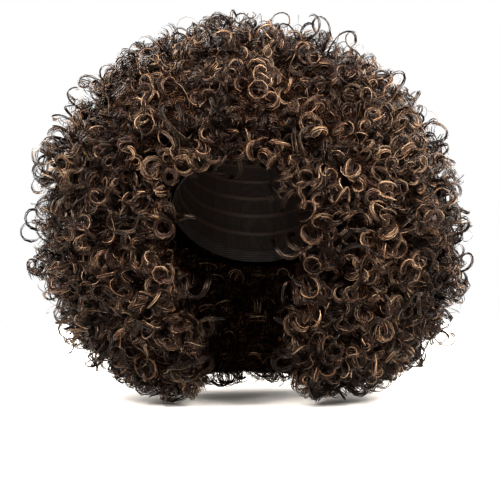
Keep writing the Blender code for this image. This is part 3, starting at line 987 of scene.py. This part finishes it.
# %% Curl every section
CURL_SEED = 41
rng = np.random.default_rng(CURL_SEED)
for name, node, first, last, upper, lower, spacing in SECTIONS:
    places, normals = set_out(rng, section_patches(first, last, upper, lower), spacing)
    bump = waves(places, CLUMP_WAVELENGTH, CLUMP_SEED)[:, None]
    clump = CLUMP_HEIGHT * (bump - CLUMP_MIDDLE)
    clump = clump + rng.uniform(*CURL_HEIGHTS, (len(places), 1))
    places = stand_proud(places, normals, clump)
    low_down = eased((LOW_FROM - places[:, 2]) / LOW_OVER)
    droop = blend(DROOP_TOP, DROOP_HEM, low_down) * rng.uniform(*DROOP_SPREAD, len(places))
    in_front = eased((FORWARD_FROM - places[:, 1]) / FORWARD_OVER) * low_down
    ways = unit(normals + in_front[:, None] * np.array([0.0, -FORWARD_TURN, 0.0]))
    centres, _, rolls, widths, alongs = wind_curls(rng, places, ways, droop)
    outs = np.repeat(normals, len(STRAND_WIDTHS), axis=0)
    # Painted shade: curls in the hollows between clumps take darker, rootward places on the
    # chart.
    hollow_painted_shade = blend(HOLLOW_SHADE, 1.0, eased((bump - HOLLOW_FROM) / HOLLOW_OVER))
    alongs = alongs * np.repeat(hollow_painted_shade, len(STRAND_WIDTHS), axis=0)
    rows = choose_rows(rng, places, STRAND_WIDTHS)
    mesh = ribbon_mesh(name, centres, outs, rolls, widths, rows, alongs)
    print(name, "curls:", len(places))
    place_piece(name, mesh, node)

# %% [markdown]
# ## The hair round the hollow
#
# The inner side of the hanging hair faces the hollow. It is seen through the front opening and
# from below, in shade, so its curls are made of fewer and broader strands.

# %% Curl the inner side
INNER_SPACING = 0.0155
INNER_WIDTHS = [0.0016, 0.0014, 0.0012, 0.0011, 0.0010, 0.0009]
INNER_LEVELS, INNER_DEPTH = (1.02, 2.0), 0.06
INNER_DROOP = (0.1, 0.7)


def hollow_side(a, b):
    """The patch of hanging roots from one edge of the opening round to the other."""
    bearing = blend(OPENING_EDGE, math.tau - OPENING_EDGE, a)
    return hair_point(bearing, blend(*INNER_LEVELS, b), INNER_DEPTH)


places, normals = spread(rng, hollow_side, INNER_SPACING, inward)
droop = rng.uniform(*INNER_DROOP, len(places))
centres, outs, rolls, widths, alongs = wind_curls(rng, places, normals, droop, INNER_WIDTHS)
rows = choose_rows(rng, places, INNER_WIDTHS)
print("inner curls:", len(places))
mesh = ribbon_mesh("inner_hair", centres, outs, rolls, widths, rows, alongs)
place_piece("inner_hair", mesh)

# %% [markdown]
# ## Sprung curls and loose hairs
#
# Some curls have sprung out of the mass and stand at its edge as open loops, and single
# strands have come loose all over. They are thin, so the hair behind shows through them, and
# they stand up to two centimetres proud of the outline.

# %% Table of what has sprung out
SPRUNG = [
    # name, spacing, proud by least and most, strand widths, ring radii, turns, stray, band
    ("sprung_curls", 0.030, 0.004, 0.020, [0.0012, 0.0010, 0.0009, 0.0008, 0.0008],
     (0.007, 0.013), (1.0, 1.6), 0.8, 0.40),
    ("loose_hairs", 0.022, 0.000, 0.012, [0.0007], (0.005, 0.013), (0.8, 1.8), 2.5, 1.0),
]
SPRUNG_DROOP, SPRUNG_LENGTH, SPRUNG_LEAN = (0.0, 0.4), (0.008, 0.024), (1.0, 4.0)

# %% Spring some curls and strands loose
for name, spacing, least, most, strand_widths, ring, turns, stray, band in SPRUNG:
    patches = [patch for _, _, *limits, _ in SECTIONS for patch in section_patches(*limits)]
    outsides = [patch for patch in patches if patch[1] is outward]
    places, normals = set_out(rng, outsides, spacing)
    places = stand_proud(places, normals, rng.uniform(least, most, (len(places), 1)))
    droop = rng.uniform(*SPRUNG_DROOP, len(places))
    centres, outs, rolls, widths, alongs = wind_curls(
        rng, places, normals, droop, strand_widths, ring, turns,
        length=SPRUNG_LENGTH, lean=SPRUNG_LEAN, stray=stray, band=band,
    )
    rows = choose_rows(rng, places, strand_widths)
    mesh = ribbon_mesh(name, centres, outs, rolls, widths, rows, alongs)
    print(name, "count:", len(places))
    place_piece(name, mesh)

# %% [markdown]
# ## The cap and its edge band
#
# The cap is stretch net, knitted black nylon, and the hair is sewn on it in rows of narrow
# weft tape, which show inside. The band is woven elastic. The cap and the band keep their
# solids, whose shape is right, and take better finishes. The tapes are meshes of their own.

# %% Stretch net
NET_MESH = 0.0026  # real net is nearer 1.5 mm, drawn coarser so that it shows
cap_net, tree = start_material("knitted_nylon_net")
where = add_node(tree, "ShaderNodeTexCoord")
cells = add_node(
    tree, "ShaderNodeTexVoronoi",
    {"feature": "DISTANCE_TO_EDGE"}, {"Scale": 1 / NET_MESH, "Randomness": 0.35},
    {"Vector": where.outputs["Object"]},
)
net_ramp = add_node(tree, "ShaderNodeValToRGB", links={"Fac": cells.outputs["Distance"]})
fill_ramp(net_ramp, [(0.05, "#241a15"), (0.22, "#070403")])
relief = add_node(
    tree, "ShaderNodeBump",
    {"invert": True}, {"Strength": 0.6, "Distance": 0.0006},
    {"Height": cells.outputs["Distance"]},
)
nylon = add_node(
    tree, "ShaderNodeBsdfPrincipled",
    values={"Roughness": 0.75, "IOR": 1.53, "Specular IOR Level": 0.2},
    links={"Base Color": net_ramp.outputs["Color"], "Normal": relief.outputs["Normal"]},
)
add_node(tree, "ShaderNodeOutputMaterial", links={"Surface": nylon.outputs["BSDF"]})
print("Material:", cap_net.name)

# %% Woven elastic
RIB_WIDTH = 0.0022  # real ribs are nearer 1 mm, drawn coarser so that they show
BAND_WAVE = 0.05 * math.tau  # in Blender's wave texture, this scale gives one band a metre
elastic, tree = start_material("woven_elastic")
where = add_node(tree, "ShaderNodeTexCoord")
ribs = add_node(
    tree, "ShaderNodeTexWave",
    {"wave_type": "BANDS", "bands_direction": "Z"},
    {"Scale": BAND_WAVE / RIB_WIDTH, "Distortion": 0.6},
    {"Vector": where.outputs["Object"]},
)
rib_ramp = add_node(tree, "ShaderNodeValToRGB", links={"Fac": ribs.outputs["Fac"]})
fill_ramp(rib_ramp, [(0.1, "#0d0b0a"), (0.9, "#2b2522")])
relief = add_node(
    tree, "ShaderNodeBump",
    values={"Strength": 0.5, "Distance": 0.0005}, links={"Height": ribs.outputs["Fac"]},
)
weave = add_node(
    tree, "ShaderNodeBsdfPrincipled",
    values={"Roughness": 0.7, "IOR": 1.53, "Specular IOR Level": 0.3},
    links={"Base Color": rib_ramp.outputs["Color"], "Normal": relief.outputs["Normal"]},
)
add_node(tree, "ShaderNodeOutputMaterial", links={"Surface": weave.outputs["BSDF"]})
print("Material:", elastic.name)

# %% Weft tape
TWILL = 0.0016  # real twill is nearer half a millimetre, drawn coarser so that it shows
twill_tape, tree = start_material("polyester_twill_tape")
where = add_node(tree, "ShaderNodeTexCoord")
twill = add_node(
    tree, "ShaderNodeTexWave",
    {"wave_type": "BANDS", "bands_direction": "DIAGONAL"},
    {"Scale": BAND_WAVE / TWILL, "Distortion": 0.8, "Detail": 1.0},
    {"Vector": where.outputs["Object"]},
)
twill_ramp = add_node(tree, "ShaderNodeValToRGB", links={"Fac": twill.outputs["Fac"]})
fill_ramp(twill_ramp, [(0.2, "#150d09"), (0.8, "#382418")])
relief = add_node(
    tree, "ShaderNodeBump",
    values={"Strength": 0.5, "Distance": 0.0003}, links={"Height": twill.outputs["Fac"]},
)
taped = add_node(
    tree, "ShaderNodeBsdfPrincipled",
    values={"Roughness": 0.6, "IOR": 1.54, "Specular IOR Level": 0.3},
    links={"Base Color": twill_ramp.outputs["Color"], "Normal": relief.outputs["Normal"]},
)
add_node(tree, "ShaderNodeOutputMaterial", links={"Surface": taped.outputs["BSDF"]})
print("Material:", twill_tape.name)

# %% Sew in the tapes
TAPE_LEVELS = np.linspace(0.14, 0.86, 9)
TAPE_WIDTH, TAPE_THICKNESS, TAPE_STEPS = 0.0034, 0.0007, 96
TAPE_SEAT = -0.0007  # below nought lies in the hollow, off the cap's inner side


def tape_corners(level):
    """The four corner lines of a closed tape round the inside of the cap at this level."""
    bearing = np.linspace(-math.pi, math.pi, TAPE_STEPS, endpoint=False)
    half = TAPE_WIDTH / 2 / (CAP_CROWN * hem_polar(bearing))
    inner = TAPE_SEAT - TAPE_THICKNESS
    lines = [(-half, TAPE_SEAT), (half, TAPE_SEAT), (half, inner), (-half, inner)]
    return np.stack([root_point(bearing, level + side, growth) for side, growth in lines], 1)


tape_points = np.concatenate([tape_corners(level).reshape(-1, 3) for level in TAPE_LEVELS])
tape_faces = []
for row in range(len(TAPE_LEVELS)):
    for step in range(TAPE_STEPS):
        here = (row * TAPE_STEPS + step) * 4
        there = (row * TAPE_STEPS + (step + 1) % TAPE_STEPS) * 4
        for k in range(4):
            after = (k + 1) % 4
            tape_faces.append((here + k, here + after, there + after, there + k))
tape_mesh = bpy.data.meshes.new("weft_tapes")
tape_mesh.from_pydata(tape_points.tolist(), [], tape_faces)
tape_mesh.materials.append(twill_tape)
weft_tapes = place_piece("weft_tapes", tape_mesh)

# %% Dress the cap and the band
for node, finish in (("cap", cap_net), ("edge_band", elastic)):
    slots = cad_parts[node].data.materials
    slots.clear()
    slots.append(finish)
    print(node, "now has", finish.name)

# %% [markdown]
# ## The size against the frame
#
# How far the dressed wig's box reaches past the frame's box is printed, at the high corner and
# at the low one. The dressed wig has to keep the frame's size.

# %% Write the sizes
new_low, new_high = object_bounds()
grown = [round(float(b - a) * 1000, 1) for a, b in zip(cad_high, new_high)]
shrunk = [round(float(a - b) * 1000, 1) for a, b in zip(cad_low, new_low)]
print("Grown in mm at the high corner:", grown, "and at the low corner:", shrunk)
